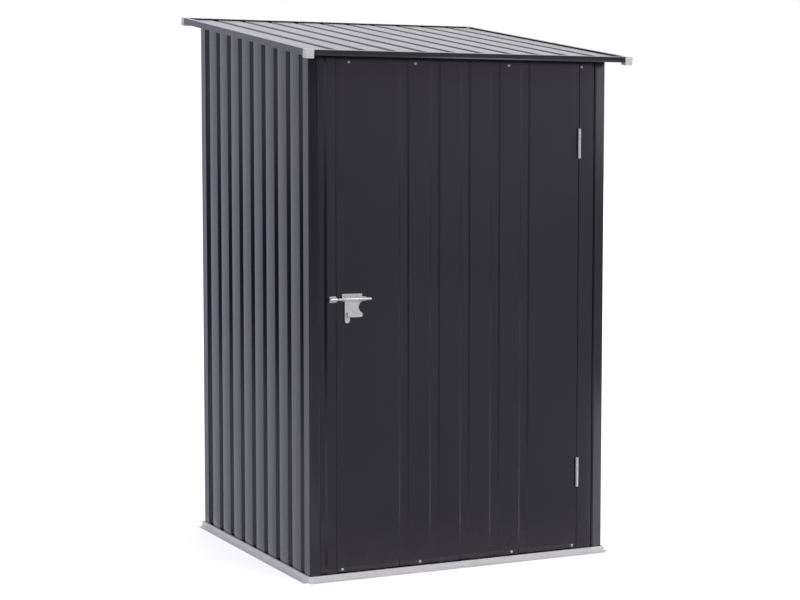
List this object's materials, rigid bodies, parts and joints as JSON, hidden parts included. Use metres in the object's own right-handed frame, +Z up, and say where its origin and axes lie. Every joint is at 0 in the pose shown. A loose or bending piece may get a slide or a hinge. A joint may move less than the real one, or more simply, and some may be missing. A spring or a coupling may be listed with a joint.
{
  "type": "metal tool shed",
  "caption": "Small lean-to garden shed of charcoal ribbed sheet steel with a sloping roof, a base rail frame and a side-hung door with a bolt latch.",
  "frame": {"origin": "on the ground under the middle of the roof", "axes": "+X to the right along the front, +Y from the door back into the shed, +Z up"},
  "size_m": [1.018, 1.0078, 1.5999],
  "materials": {
    "charcoal_paint": "satin paint on ribbed sheet",
    "base_rail_zinc": "galvanised",
    "cap_plastic": "moulded, satin",
    "latch_zinc": "bright zinc plate"
  },
  "bodies": {
    "shed": {"front_base_rail": "base_rail_zinc", "back_base_rail": "base_rail_zinc", "left_base_rail": "base_rail_zinc", "right_base_rail": "base_rail_zinc", "front_left_post": "charcoal_paint", "front_right_post": "charcoal_paint", "back_left_post": "charcoal_paint", "back_right_post": "charcoal_paint", "left_wall": "charcoal_paint", "right_wall": "charcoal_paint", "back_wall": "charcoal_paint", "left_jamb": "charcoal_paint", "right_jamb": "charcoal_paint", "door_header": "charcoal_paint", "left_top_rail": "charcoal_paint", "right_top_rail": "charcoal_paint", "back_top_rail": "charcoal_paint", "roof_sheet": "charcoal_paint", "front_roof_trim": "charcoal_paint", "back_roof_trim": "charcoal_paint", "left_roof_trim": "charcoal_paint", "right_roof_trim": "charcoal_paint", "front_left_roof_cap": "cap_plastic", "front_right_roof_cap": "cap_plastic", "back_left_roof_cap": "cap_plastic", "back_right_roof_cap": "cap_plastic", "bolt_keeper": "latch_zinc", "upper_hinge_frame_leaf": "latch_zinc", "lower_hinge_frame_leaf": "latch_zinc"},
    "door": {"door_sheet": "charcoal_paint", "door_left_stile": "charcoal_paint", "door_right_stile": "charcoal_paint", "door_top_rail": "charcoal_paint", "door_bottom_rail": "charcoal_paint", "upper_hinge_door_leaf": "latch_zinc", "lower_hinge_door_leaf": "latch_zinc", "latch_plate": "latch_zinc", "latch_staple": "latch_zinc"},
    "bolt": {"bolt_rod": "latch_zinc"},
    "hasp_plate": {"hasp": "latch_zinc"}
  },
  "joints": [
    {"name": "door_hinge", "type": "hinge", "parent": "shed", "child": "door", "pos_m": [0.383, -0.419, 0.7], "axis": [0, 0, 1], "range_deg": [0, 110]},
    {"name": "bolt_slide", "type": "slide", "parent": "door", "child": "bolt", "axis": [-1, 0, 0], "range_m": [0, 0.02]},
    {"name": "hasp_hinge", "type": "hinge", "parent": "door", "child": "hasp_plate", "pos_m": [-0.34, -0.4207, 0.77951], "axis": [-1, 0, 0], "range_deg": [0, 150]}
  ]
}
